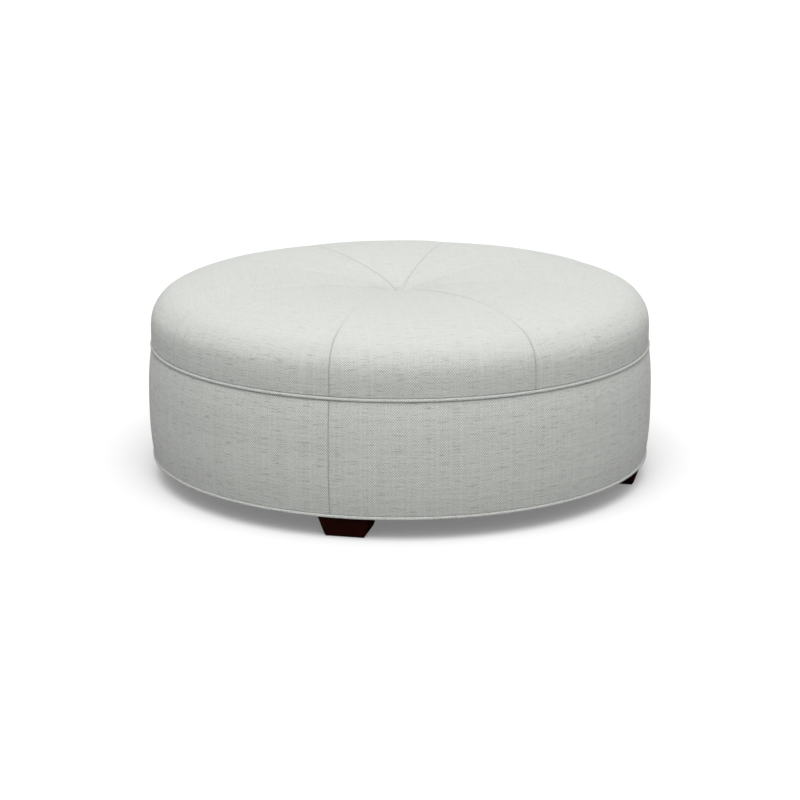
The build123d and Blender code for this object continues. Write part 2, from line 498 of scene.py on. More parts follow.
@dataclass
class Crown(SewnCovers):
    """The crown: eight gores that are sewn edge to edge and drawn down at the centre."""

    cover_name: str = "gore_cover"
    part_name: str = "crown_gore"
    count: int = 8
    held_margins: tuple[int, int, int] = (12, 6, 6)
    body_radius: float = 0.526
    datum: float = 0.280
    seam_level: float = 0.2855
    foam_radius: float = 0.5009
    foam_top: float = 0.3723
    tuft_radius: float = 0.0050
    back_tip: float = 0.004
    rows: int = 92
    line_step: float = 0.0004
    rim_extra: float = 0.075
    rim_fade: float = 0.009
    hand_work: HandWork = field(default_factory=lambda: HandWork(0.0005, 11))
    smooth_seam: tuple[float, float] = (0.0, 0.05)
    smooth_rim: tuple[float, float] = (0.01, 0.04)
    # Radius and height over the datum as shares of the body's radius, from the welt to the tuft.
    ridge_shares: tuple[tuple[float, float], ...] = (
        (0.980, 0.0100), (0.988, 0.0097), (0.9955, 0.0096), (0.9982, 0.0103), (0.9990, 0.0130),
        (0.9998, 0.029), (1.0004, 0.050), (1.0004, 0.076), (0.9991, 0.101), (0.9954, 0.1247),
        (0.9864, 0.1488), (0.9719, 0.1714), (0.9524, 0.1933), (0.9243, 0.2123), (0.8868, 0.2267),
        (0.8345, 0.2406), (0.7749, 0.2541), (0.700, 0.2637), (0.620, 0.2672), (0.540, 0.2670),
        (0.460, 0.2645), (0.380, 0.2590), (0.300, 0.2515), (0.225, 0.2423), (0.160, 0.2320),
        (0.108, 0.2205), (0.070, 0.2095), (0.040, 0.1985), (0.0200, 0.1920), (0.0095, 0.1890),
    )
    # Radius and the seams' depth as shares of the body's radius, from the tuft to the welt.
    sink_shares: tuple[tuple[float, float], ...] = (
        (0.0, 0.0005), (0.03, 0.0014), (0.10, 0.0018), (0.2, 0.0018), (0.4, 0.0014), (0.6, 0.0014),
        (0.75, 0.0021), (0.85, 0.0036), (0.93, 0.0028), (0.975, 0.0014), (1.01, 0.0008),
    )
    sink_reach: float = 0.085
    pleats: int = 2
    pleat_depth: float = 0.0011
    pleat_radius: float = 0.016
    pleat_spread: float = 0.017
    top_roll: float = 0.3
    full_roll: tuple[float, float] = (0.84, 0.94)
    # The shares of the radius at which each seam's depth of painted shade is given, one row for
    # each seam.
    painted_shade_radii: tuple[float, ...] = (0.03, 0.12, 0.42, 0.62, 0.80, 0.88, 1.0)
    painted_shade_depths: tuple[tuple[float, ...], ...] = (
        (0.0, 0.0, 0.0, 0.0, 0.02, 0.34, 0.42), (0.45, 0.70, 0.66, 0.10, 0.04, 0.34, 0.42),
        (0.10, 0.06, 0.04, 0.04, 0.05, 0.10, 0.16), (0.12, 0.08, 0.06, 0.06, 0.06, 0.08, 0.14),
        (0.20, 0.24, 0.20, 0.18, 0.16, 0.16, 0.16), (0.34, 0.42, 0.40, 0.34, 0.28, 0.20, 0.16),
        (0.14, 0.10, 0.06, 0.04, 0.04, 0.08, 0.14), (0.34, 0.46, 0.30, 0.08, 0.04, 0.08, 0.16),
    )
    # Painted shade in the hollow round the tuft: how dark it is, and how far out it reaches.
    hollow_shade: float = 0.15
    hollow_shade_radius: float = 0.055
    weave_shift: float = 0.37

    def ridge(self) -> Array:
        """The line of a gore's middle from the welt to the tuft.

        Returns:
            Its points, as radius and height.
        """
        knots = np.array(self.ridge_shares) * self.body_radius
        knots[:, 1] += self.datum
        line = smooth_line(knots, self.line_step)
        return even_line(line, self.rows, self.rim_extra, self.rim_fade)

    def backing(self) -> Array:
        """The line behind the filling: under the cloth, up the foam's side and over its top.

        Returns:
            Its points, as radius and height, one for each of the ridge's.
        """
        corners = np.array([
            (self.foam_radius, self.seam_level),
            (self.foam_radius, self.foam_top),
            (self.tuft_radius, self.foam_top),
        ])
        return even_line(corners, self.rows)

    def sink(self, radius: Array) -> Array:
        """How deep the seam lies under the gores' middles, at each radius."""
        table = np.array(self.sink_shares) * self.body_radius
        return np.interp(radius, table[:, 0], table[:, 1])

    def painted_shade(self, index: int, radius: Array, across: Array, distance: Array) -> Array:
        """The painted shade along the seams and in the hollow at the centre.

        Formula: the nearer seam's own depth at that radius times a bell curve of the distance
        from it, plus the hollow's depth times a bell curve of the radius. Each seam has its own
        depths of painted shade, which stand in for the shade that falls in its groove.

        Args:
            index: the gore's number. Its first seam has the same number.
            radius: the points' radius.
            across: their signed distance from the gore's middle line.
            distance: their distance from the nearer seam.

        Returns:
            The painted shade of each point, from 0 to 1.
        """
        share = radius / self.body_radius
        first, second = (
            np.interp(share, self.painted_shade_radii, self.painted_shade_depths[seam % self.count])
            for seam in (index, index + 1)
        )
        depth = np.where(across < 0, first, second)
        hollow = self.hollow_shade * bell(radius, self.hollow_shade_radius)
        return depth * bell(distance, self.painted_shade_width) + hollow

    def sheet(self, index: int) -> tuple[Sheet, Array]:
        """One gore's cloth and the grid behind it.

        Formula: a place across the gore is an arc length from its middle line, so its angle is
        that length over the radius. The point lies on the ridge line, moved in along its normal
        by the seam's depth times (cosh(x/reach) - 1) / (cosh(w/reach) - 1), where w is half the
        gore's width, by the sewn edge's roll, and near the tuft by small pleats.

        Args:
            index: the gore's number, from 0.

        Returns:
            The cloth's grid, and the points behind it.
        """
        middle = self.middle(index)
        ridge = self.ridge()
        normal = outward(ridge)
        radius, height = ridge[:, :1], ridge[:, 1:]
        wide = radius * math.pi / self.count
        across = self.edge.columns(wide, self.inner_steps)
        angle = across / radius
        distance = wide - self.edge.gap - np.abs(across)
        rolled = smooth_step(radius / self.body_radius, *self.full_roll)
        fit = self.edge.fit(wide - self.edge.gap) * (self.top_roll + (1 - self.top_roll) * rolled)
        reach = self.sink_reach
        curve = (np.cosh(across / reach) - 1) / (np.cosh(wide / reach) - 1)
        drop = self.sink(radius) * curve + self.edge.drop(distance, fit)
        pleat = (1 - np.cos(2 * self.pleats * math.pi * across / wide)) / 2
        drop = drop + self.pleat_depth * bell(radius - self.pleat_radius, self.pleat_spread) * pleat
        plain = around(radius, height, middle + angle)
        walked = run_length(ridge)[:, None]
        uneven = self.hand_work.at(plain) * smooth_step(distance, *self.smooth_seam)
        drop = drop - uneven * smooth_step(walked, *self.smooth_rim)
        place = ridge[:, None] + normal[:, None] * -drop[..., None]
        flat = np.clip(normal[:, 1:], 0, 1)
        arc = radius * (1 - np.cos(angle)) * flat
        marks = {
            "weave": pairs(radius * np.sin(angle), walked + arc) + self.weave_shift * index,
            "seam": pairs(distance, walked),
            # The last mark is painted shade along the seams and in the hollow.
            "painted_shade": self.painted_shade(index, radius, across, distance),
        }
        back = self.backing()
        back_angle = angle * (1 - self.edge.gap / np.maximum(back[:, :1], self.back_tip))
        inner = around(back[:, :1], back[:, 1:], middle + back_angle)
        return Sheet(around(place[..., 0], place[..., 1], middle + angle), marks), inner


@dataclass
class Band(SewnCovers):
    """The upright sides: four cover panels, swollen between the welts and sewn at their ends."""

    cover_name: str = "band_cover"
    part_name: str = "band_panel"
    count: int = 4
    inner_steps: int = 92
    held_margins: tuple[int, int, int] = (6, 6, 7)
    filling: Filling = field(default_factory=lambda: Filling(reach=0.0008))
    hand_work: HandWork = field(default_factory=lambda: HandWork(0.0004, 5))
    smooth_seam: tuple[float, float] = (0.0, 0.03)
    radius: float = 0.526
    inner_radius: float = 0.5119
    low: float = 0.0501
    high: float = 0.2787
    back_high: float = 0.2780
    tuck: float = 0.0017
    swell: float = 0.0074
    fullness: float = 2.6
    turn_in: float = 0.0008
    turn_steps: int = 9
    rows: int = 30
    # Painted shade along the panels' seams.
    painted_shade_depth: float = 0.40
    weave_shift: float = 0.53

    def side(self) -> Array:
        """The line of a panel's middle from the lower welt to the upper one.

        Formula: a bow of radius plus swell times one less a power, the fullness, of the height's
        share, with a quarter circle at each end where the cloth turns in behind the welt, and
        one more point at the top, where it goes down again to the welt's flange.

        Returns:
            Its points, as radius and height.
        """
        turn = np.linspace(0, math.pi / 2, self.turn_steps)[:-1]
        bend = np.stack([np.sin(turn) - 1, 1 - np.cos(turn)], axis=1)
        foot = np.array([self.radius, self.low]) + bend * self.turn_in
        head = np.array([self.radius, self.high]) + bend[::-1] * np.array([1, -1]) * self.turn_in
        share = np.linspace(-1, 1, self.rows)
        low, high = self.low + self.turn_in, self.high - self.turn_in
        height = (low + high) / 2 + (high - low) / 2 * share
        bow = pairs(self.radius + self.swell * (1 - np.abs(share) ** self.fullness), height)
        tucked = np.array([[self.radius - self.tuck, self.back_high]])
        return np.concatenate([foot[::2], bow, head[1::2], tucked])

    def sheet(self, index: int) -> tuple[Sheet, Array]:
        """One panel's cloth and the grid behind it.

        Formula: as a gore's, with the side line and with no seam depth beyond the sewn roll.

        Args:
            index: the panel's number, from 0.

        Returns:
            The cloth's grid, and the points behind it.
        """
        middle = self.middle(index)
        side = self.side()
        rows = len(side)
        normal = outward(side)
        half = np.full((rows, 1), self.radius * math.pi / self.count)
        across = self.edge.columns(half, self.inner_steps)
        distance = half - self.edge.gap - np.abs(across)
        angle = across / self.radius
        drop = self.edge.drop(distance, np.ones((rows, 1)))
        plain = around(side[:, :1], side[:, 1:], middle + angle)
        ends = np.sin(np.linspace(0, math.pi, rows))[:, None]
        drop = drop - self.hand_work.at(plain) * ends * smooth_step(distance, *self.smooth_seam)
        walked = run_length(side)[:, None]
        marks = {
            "weave": pairs(across, walked) + self.weave_shift * (index + 1),
            "seam": pairs(distance, walked),
            # The last mark is painted shade along the seams.
            "painted_shade": self.painted_shade_depth * bell(distance, self.painted_shade_width),
        }
        place = side[:, None] - normal[:, None] * drop[..., None]
        height = np.linspace(self.low, self.back_high, rows)[:, None]
        inner = around(self.inner_radius, height, middle + angle)
        return Sheet(around(place[..., 0], place[..., 1], middle + angle), marks), inner


@dataclass
class Piping:
    """One welt: cloth on the bias sewn round a cord, with its flange held by the frame."""

    name: str
    stands_for: str
    level: float
    material: Material
    seed: int
    ring_radius: float = 0.5247
    cord: float = 0.0035
    rise: float = 0.0044
    fall: float = 0.0018
    start_degrees: float = -112.0
    end_degrees: float = 196.0
    flatness: float = 0.75
    neck: tuple[float, float] = (0.0015, 0.0006)
    flange_drop: float = 0.0025
    flange_inner: float = 0.5049
    flange_roll: float = 0.001
    flange_middle: float = -0.011
    flange_start: float = -0.0045
    cloth: float = 0.0008
    steps: int = 900
    tube_steps: int = 30
    lumps: float = 0.00026
    lump_waves: int = 8
    lump_rates: tuple[int, int] = (40, 260)

    def section(self) -> Array:
        """The welt's closed outline: a round tube drawn in to a flat flange.

        Formula: an oval from the flange's underside round to its top side, higher above the level
        than below it, since the band's cloth is drawn up under the cord. Its cosines and sines are
        raised to a power below one, so that the front is a little flat. Then straight in along the
        flange, round its edge and straight back.

        Returns:
            Its points, as offsets from the ring.
        """
        turn = np.linspace(
            math.radians(self.start_degrees), math.radians(self.end_degrees), self.tube_steps
        )
        tube = pairs(np.cos(turn), np.sin(turn))
        tube = np.sign(tube) * np.abs(tube) ** self.flatness
        tube = tube * pairs(self.cord, np.where(tube[:, 1] > 0, self.rise, self.fall))
        low, high = -self.flange_drop, -self.flange_drop + self.cloth
        neck, lift = self.neck
        inner = self.flange_inner - self.ring_radius
        flange = np.array([
            (-self.cord, high + lift), (-self.cord - neck, high), (self.flange_middle, high),
            (inner + self.flange_roll, high), (inner, high - self.cloth / 2),
            (inner + self.flange_roll, low), (self.flange_middle, low), (self.flange_start, low),
        ])
        return np.concatenate([tube, flange])

    def build(self) -> None:
        """Makes and dresses the welt.

        Formula: the section carried round the ring. The tube's part grows and shrinks a little
        along the ring with a sum of sines, as the cord in a sewn casing does.
        """
        section = self.section()
        angle = full_turn(self.steps)[:, None]
        draw = np.random.default_rng(self.seed)
        rate = draw.integers(*self.lump_rates, self.lump_waves)
        phase = draw.uniform(0, 2 * math.pi, self.lump_waves)
        lump = np.sin(angle * rate + phase).mean(axis=1, keepdims=True) * self.lumps
        is_tube = (np.arange(len(section)) < self.tube_steps)[None, :]
        scale = 1 + lump / self.cord * is_tube
        radius = self.ring_radius + section[None, :, 0] * scale
        points = around(radius, self.level + section[None, :, 1] * scale, angle)
        faces = grid_quads(self.steps, len(section), Edge.JOINED, Edge.JOINED)
        walked = run_length(section)[None, :]
        weave = pairs(walked, self.ring_radius * angle).reshape(-1, 2)
        piece = make_piece(self.name, points.reshape(-1, 3), faces[:, ::-1], {"weave": weave})
        settle(piece, (self.stands_for,), self.material)


@dataclass
class Tuft:
    """The blind tuft: seam ends bunched at the crown's centre, with no button on it."""

    material: Material
    radius: float = 0.0049
    low: float = 0.3723
    high: float = 0.3792
    plumpness: float = 0.6
    pleats: int = 8
    pleat_turn: float = 0.35
    pleat_depth: float = 0.0008
    pleat_rise: tuple[float, float] = (-1.2, 0.2)
    dip_depth: float = 0.0018
    dip_radius: float = 0.0018
    # Painted shade over the whole bunch, for the shadow of the pinched centre.
    shade: float = 0.8
    weave_shift: float = 0.11
    seam_distance: float = 0.003
    rows: int = 26
    steps: int = 96

    def build(self) -> None:
        """Makes and dresses the bunch.

        Formula: a rounded button of cloth whose radius is a power of the cosine and whose height
        is the sine of an angle that runs from the bottom pole to the top one. Pleats deepen
        upwards with the cosine of the angle round the axis, and the middle dips.
        """
        rise = np.linspace(-math.pi / 2, math.pi / 2, self.rows)[1:-1, None]
        turn = full_turn(self.steps)[None, :]
        middle, half = (self.low + self.high) / 2, (self.high - self.low) / 2
        fold = (1 - np.cos(self.pleats * turn + self.pleat_turn)) / 2 * self.pleat_depth
        body = np.cos(rise) ** self.plumpness
        radius = (self.radius - fold * smooth_step(rise, *self.pleat_rise)) * body
        dip = self.dip_depth * bell(radius, self.dip_radius) * (rise > 0)
        height = middle + half * np.sin(rise) - fold * (rise > 0) * body - dip
        ring = around(radius, height, turn)
        poles = np.array([[0, 0, self.low], [0, 0, ring[-1, :, 2].mean()]])
        points = np.concatenate([ring.reshape(-1, 3), poles])
        count = len(ring) * self.steps
        first = np.arange(self.steps)
        after = np.roll(first, -1)
        top = count - self.steps
        faces = grid_quads(len(ring), self.steps, Edge.OPEN, Edge.JOINED).tolist()
        faces += np.stack([after, first, np.full(self.steps, count)], axis=1).tolist()
        faces += np.stack([first + top, after + top, 0 * first + count + 1], axis=1).tolist()
        marks = {
            "weave": points[:, :2] + self.weave_shift,
            "seam": np.full((len(points), 2), self.seam_distance),
            "painted_shade": np.full((len(points), 1), self.shade),
        }
        piece = make_piece("tuft_bunch", points, faces, marks)
        settle(piece, ("tuft_gather",), self.material)


@dataclass
class Feet:
    """Four block feet that widen upwards, with softened arrises."""

    material: Material
    names: tuple[str, ...] = ("front", "right", "back", "left")
    orbit: float = 0.468
    base_width: float = 0.081
    top_width: float = 0.104
    low: float = 0.002
    high: float = 0.0427
    arris: float = 0.0022
    corner: float = 0.004
    steps: int = 96
    arris_rows: int = 5
    side_rows: int = 8

    def outline(self, half: Array) -> Array:
        """A square with round corners, as places for each of the steps round it.

        Formula: the direction's cosine and sine, raised so that they follow a square, are
        clamped to the square less its corners, and a round corner's arc is added to them.

        Args:
            half: half the square's width in each row.

        Returns:
            The places across and along, row by row.
        """
        turn = full_turn(self.steps) + math.pi / self.steps
        way = pairs(np.cos(turn), np.sin(turn))
        square = way / np.abs(way).max(axis=1, keepdims=True) * half[:, None, None]
        limit = (half - self.corner)[:, None, None]
        flat = np.clip(square, -limit, limit)
        rest = square - flat
        size = np.linalg.norm(rest, axis=-1, keepdims=True)
        return flat + rest / np.maximum(size, TINY) * self.corner

    def block(self) -> tuple[Array, list[list[int]]]:
        """One foot's points over the origin, and its faces.

        Formula: outlines stacked from the bottom's arris to the top's. In an arris the outline
        shrinks by the arris times one less the sine of an angle while the height follows its
        cosine. One flat face closes the bottom and one the top.

        Returns:
            Points and faces.
        """
        turn = np.linspace(0, math.pi / 2, self.arris_rows)
        trim, lift = (1 - np.sin(turn)) * self.arris, (1 - np.cos(turn)) * self.arris
        tall = self.high - self.low
        sides = self.low + tall * np.linspace(0, 1, self.side_rows)[1:-1]
        height = np.concatenate([self.low + lift, sides, self.high - lift[::-1]])
        trim = np.concatenate([trim, 0 * sides, trim[::-1]])
        share = (height - self.low) / tall
        half = (self.base_width + (self.top_width - self.base_width) * share) / 2 - trim
        ring = self.outline(half)
        level = np.broadcast_to(height[:, None, None], ring.shape[:2] + (1,))
        points = np.concatenate([ring, level], axis=-1).reshape(-1, 3)
        count = len(points)
        faces = grid_quads(len(ring), self.steps, Edge.OPEN, Edge.JOINED).tolist()
        faces.append(list(range(self.steps))[::-1])
        faces.append(list(range(count - self.steps, count)))
        return points, faces

    def build(self) -> None:
        """Makes and dresses the feet: the block turned to each foot's place round the axis."""
        points, faces = self.block()
        for index, name in enumerate(self.names):
            angle = -math.pi / 2 + index * math.pi / 2
            cosine, sine = math.cos(angle), math.sin(angle)
            turn = np.array([[cosine, sine, 0], [-sine, cosine, 0], [0, 0, 1]])
            placed = (points + np.array([self.orbit, 0, 0])) @ turn
            piece = make_piece(f"block_foot_{name}", placed, faces)
            for end in piece.data.polygons[-2:]:
                end.use_smooth = False
            settle(piece, (f"foot_{name}",), self.material)


@dataclass
class Underside:
    """The dust cloth under the base and the staples that hold it."""

    cloth_material: Material
    staple_material: Material
    radius: float = 0.5041
    level: float = 0.0428
    thickness: float = 0.0006
    slack: HandWork = field(default_factory=lambda: HandWork(0.0004, 23))
    centre_radius: float = 0.002
    hem: float = 0.014
    hem_thickness: float = 0.0004
    hem_rings: tuple[float, float] = (0.0004, 0.0005)
    steps: int = 240
    rings: int = 44
    feet: int = 4
    foot_orbit: float = 0.468
    foot_clear: float = 0.075
    staple_count: int = 72
    staple_radius: float = 0.4965
    staple_length: float = 0.0105
    staple_wire: float = 0.0006
    staple_flatness: float = 0.6
    staple_bend: float = 0.0009
    bend_steps: int = 4
    wire_sides: int = 6
    # How far a staple's angle, its tilt and its radius stray.
    place_spread: float = 0.004
    tilt_spread: float = 0.1
    radius_spread: float = 0.0008
    seed: int = 3

    def build_cloth(self) -> None:
        """Makes and dresses the dust cloth: a thin disc with a folded hem.

        Formula: rings of points under the base. The underside hangs by a smooth wave between
        the feet and by the hem's fold near the rim, and the upper side is level.
        """
        fold, after_fold = self.hem_rings
        hem_start = self.radius - self.hem
        rings = np.linspace(self.centre_radius, self.radius, self.rings)
        radius = np.sort(np.concatenate([rings, [hem_start, hem_start + fold]]))[:, None]
        flat = around(radius, self.level, full_turn(self.steps)[None, :])
        reach = np.ones(flat.shape[:2])
        for index in range(self.feet):
            foot = around(self.foot_orbit, 0.0, index * 2 * math.pi / self.feet)
            away = np.linalg.norm((flat - foot)[..., :2], axis=-1)
            reach = reach * smooth_step(away, self.foot_clear, self.foot_clear * 2)
        hem = self.hem_thickness * smooth_step(radius, hem_start, hem_start + after_fold)
        under, upper = flat.copy(), flat.copy()
        under[..., 2] -= (np.abs(self.slack.at(flat)) + hem) * reach
        upper[..., 2] += self.thickness
        rows = len(radius)
        count = rows * self.steps
        quads = grid_quads(rows, self.steps, Edge.OPEN, Edge.JOINED)
        rim = np.arange(count - self.steps, count)
        after = np.roll(rim, -1)
        strip = np.stack([rim, after, after + count, rim + count], axis=1)
        faces = np.concatenate([quads, quads[:, ::-1] + count, strip]).tolist()
        faces += [list(range(self.steps))[::-1], list(range(count, count + self.steps))]
        points = np.concatenate([under.reshape(-1, 3), upper.reshape(-1, 3)])
        piece = make_piece("dust_cloth", points, faces)
        settle(piece, ("dust_cover",), self.cloth_material)

    def build_staples(self) -> None:
        """Makes and dresses the staples round the hem, as one piece.

        Formula: each staple's crown is a bar along the rim whose section is a hexagon, with ends
        that turn up into the cloth along a quarter circle.
        """
        straight = self.staple_length / 2 - self.staple_bend
        bend = np.linspace(0, math.pi / 2, self.bend_steps)
        arc = pairs(
            straight + self.staple_bend * np.sin(bend), self.staple_bend * (1 - np.cos(bend))
        )
        line = np.concatenate([arc[::-1] * np.array([-1, 1]), arc])
        way = np.gradient(line, axis=0)
        way /= np.linalg.norm(way, axis=1, keepdims=True)
        turn = full_turn(self.wire_sides)[None, :]
        radial = np.cos(turn) * self.staple_wire
        lift = np.sin(turn) * self.staple_wire * self.staple_flatness
        along = line[:, :1] - way[:, 1:] * lift
        up = line[:, 1:] + way[:, :1] * lift
        count = len(line) * self.wire_sides
        quads = grid_quads(len(line), self.wire_sides, Edge.OPEN, Edge.JOINED)[:, ::-1]
        ends = [range(self.wire_sides), range(count - 1, count - 1 - self.wire_sides, -1)]
        faces, points = [], []
        draw = np.random.default_rng(self.seed)
        for index in range(self.staple_count):
            middle = (index + 0.5) / self.staple_count * 2 * math.pi
            middle += draw.normal(0, self.place_spread)
            tilt = draw.normal(0, self.tilt_spread)
            out = self.staple_radius + draw.normal(0, self.radius_spread)
            across = radial + np.tan(tilt) * along
            height = self.level - self.staple_bend + up
            points.append(around(out + across, height, middle + along / out).reshape(-1, 3))
            start = index * count
            faces += (quads + start).tolist() + [[number + start for number in end] for end in ends]
        piece = make_piece("dust_cloth_staples", np.concatenate(points), faces)
        settle(piece, (), self.staple_material)

    def build(self) -> None:
        """Makes the cloth and its staples."""
        self.build_cloth()
        self.build_staples()


# Materials


class Bench:
    """Lays out and joins the nodes of one shader tree."""

    def __init__(self, tree: bpy.types.NodeTree) -> None:
        """Starts work on a tree."""
        self.tree = tree
        self.placed = 0

    def add(self, kind: str, **settings: object) -> Node:
        """Adds a node.

        Args:
            kind: the node's type name.
            **settings: properties to set on it.

        Returns:
            The node.
        """
        node = self.tree.nodes.new(kind)
        node.location = (180 * (self.placed % 9), -220 * (self.placed // 9))
        self.placed += 1
        for name, value in settings.items():
            setattr(node, name, value)
        return node

    def feed(self, socket: Socket, value: object) -> None:
        """Joins a socket to another socket, or sets its value.

        Args:
            socket: the input to feed.
            value: the output or the value that feeds it.
        """
        if isinstance(value, bpy.types.NodeSocket):
            self.tree.links.new(value, socket)
        else:
            socket.default_value = value

    def fill(self, node: Node, values: dict[str | int, object]) -> None:
        """Feeds several of a node's inputs, by their names or numbers."""
        for name, value in values.items():
            self.feed(node.inputs[name], value)

    def maths(self, operation: str, *values: object) -> Socket:
        """The result of a Math node.

        Args:
            operation: the node's operation.
            *values: up to three values or sockets that it works on.

        Returns:
            The node's output.
        """
        node = self.add("ShaderNodeMath", operation=operation)
        self.fill(node, dict(enumerate(values)))
        return node.outputs[0]

    def times(self, first: object, second: object) -> Socket:
        """One value times another."""
        return self.maths("MULTIPLY", first, second)

    def line(self, value: object, slope: object, start: object) -> Socket:
        """A value times a slope, plus a start."""
        return self.maths("MULTIPLY_ADD", value, slope, start)

    def parts(self, vector: Socket) -> tuple[Socket, ...]:
        """The three coordinates of a vector.

        Args:
            vector: the vector.

        Returns:
            One socket for each coordinate.
        """
        node = self.add("ShaderNodeSeparateXYZ")
        self.feed(node.inputs[0], vector)
        return tuple(node.outputs)

    def mix(self, share: object, first: object, second: object) -> Socket:
        """Mixes two values.

        Args:
            share: how much of the second value there is, from 0 to 1.
            first: the first value.
            second: the second value.

        Returns:
            The mixed value.
        """
        node = self.add("ShaderNodeMix", data_type="FLOAT")
        self.fill(node, {0: share, 2: first, 3: second})
        return node.outputs[0]

    def blend(self, share: object, first: object, second: object) -> Socket:
        """Mixes two colours.

        Args:
            share: how much of the second colour there is, from 0 to 1.
            first: the first colour, as a colour or a socket.
            second: the second colour.

        Returns:
            The mixed colour.
        """
        node = self.add("ShaderNodeMix", data_type="RGBA")
        ends = [(*end, 1.0) if isinstance(end, tuple) else end for end in (first, second)]
        self.fill(node, {0: share, 6: ends[0], 7: ends[1]})
        return node.outputs[2]

    def ramp(self, value: Socket, low: object, high: object) -> Socket:
        """A value's share of the way from low to high, smoothed and kept from 0 to 1.

        Args:
            value: the value.
            low: where the share is 0.
            high: where it is 1.

        Returns:
            The share.
        """
        node = self.add("ShaderNodeMapRange", interpolation_type="SMOOTHSTEP")
        self.fill(node, {"Value": value, "From Min": low, "From Max": high})
        return node.outputs["Result"]

    def noise(self, place: Socket, scale: Colour, detail: float, rough: float = 0.5) -> Socket:
        """Noise in a space that is stretched by a scale on each axis.

        Args:
            place: the coordinates.
            scale: how many times each axis is stretched.
            detail: how many finer layers are added.
            rough: how strong the finer layers are.

        Returns:
            The noise's value.
        """
        stretch = self.add("ShaderNodeVectorMath", operation="MULTIPLY")
        self.fill(stretch, {0: place, 1: scale})
        node = self.add("ShaderNodeTexNoise")
        settings = {"Scale": 1.0, "Detail": detail, "Roughness": rough}
        self.fill(node, {"Vector": stretch.outputs[0], **settings})
        return node.outputs["Fac"]

    def bump(
        self, height: Socket, strength: float, distance: float, under: Socket | None = None
    ) -> Socket:
        """The normal of a relief.

        Args:
            height: the relief's height, in shares of the distance.
            strength: how much of it shows.
            distance: how high it is at most.
            under: the normal of a larger relief below it, if there is one.

        Returns:
            The normal.
        """
        node = self.add("ShaderNodeBump")
        self.fill(node, {"Height": height, "Strength": strength, "Distance": distance})
        if under is not None:
            self.feed(node.inputs["Normal"], under)
        return node.outputs[0]


class Effect:
    """A shader group that materials share: named inputs, and masks and heights as outputs."""

    title = "Effect"
    inputs: tuple[tuple[str, float], ...] = ()
    outputs: tuple[str, ...] = ("Mask", "Height")

    def __init__(self) -> None:
        """Builds the group once."""
        self.tree = bpy.data.node_groups.new(self.title, "ShaderNodeTree")
        face = self.tree.interface
        face.new_socket(name="Vector", in_out="INPUT", socket_type="NodeSocketVector")
        for name, value in self.inputs:
            socket = face.new_socket(name=name, in_out="INPUT", socket_type="NodeSocketFloat")
            socket.default_value = value
        for name in self.outputs:
            face.new_socket(name=name, in_out="OUTPUT", socket_type="NodeSocketFloat")
        bench = Bench(self.tree)
        entry = bench.add("NodeGroupInput")
        results = self.draw(bench, entry)
        bench.fill(bench.add("NodeGroupOutput"), dict(zip(self.outputs, results)))

    def draw(self, bench: Bench, entry: Node) -> tuple[Socket, ...]:
        """Makes the group's nodes and returns its results in the order of its outputs."""
        raise NotImplementedError

    def place(self, bench: Bench, vector: Socket, **values: float) -> Node:
        """Puts the group into a material.

        Args:
            bench: the material's bench.
            vector: the coordinates it works in.
            **values: its own values, by input name.

        Returns:
            The group's node.
        """
        node = bench.add("ShaderNodeGroup", node_tree=self.tree)
        bench.fill(node, {"Vector": vector, **values})
        return node


